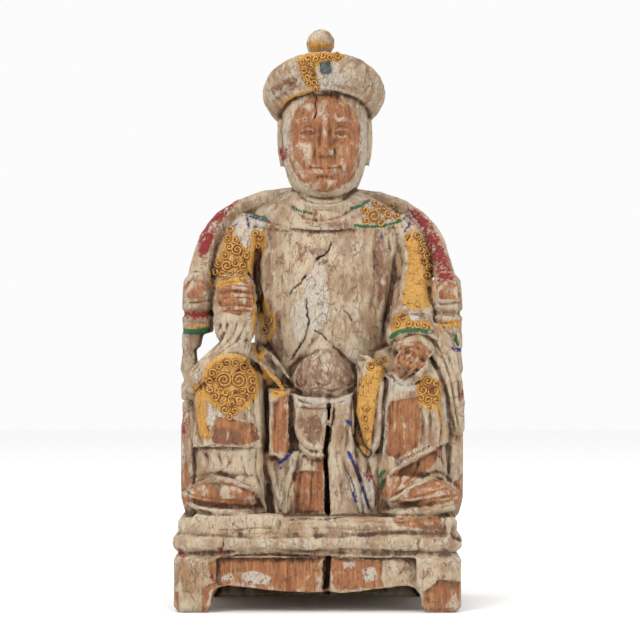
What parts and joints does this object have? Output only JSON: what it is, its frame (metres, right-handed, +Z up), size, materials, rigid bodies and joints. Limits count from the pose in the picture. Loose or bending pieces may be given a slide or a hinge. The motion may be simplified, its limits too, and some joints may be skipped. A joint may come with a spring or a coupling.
{
  "type": "wooden sculpture",
  "caption": "Worn polychrome wooden altar figure of an official seated in a horseshoe-back chair on a low footed plinth, carved from a single block, with a glass chip in the hat.",
  "frame": {"origin": "middle of the footprint, on the ground under the plinth", "axes": "+Z up through the figure, the figure faces -Y, +X to the viewer's right when seen from the front"},
  "size_m": [0.1777, 0.134, 0.3573],
  "materials": {
    "carved_wood": "worn gesso, gilding and paint over bare camphor-brown wood, matt",
    "mirror_glass": "dark, tarnished mirror glass"
  },
  "bodies": {
    "root": {"seated_figure": "carved_wood", "hat_mirror": "mirror_glass"}
  },
  "joints": []
}
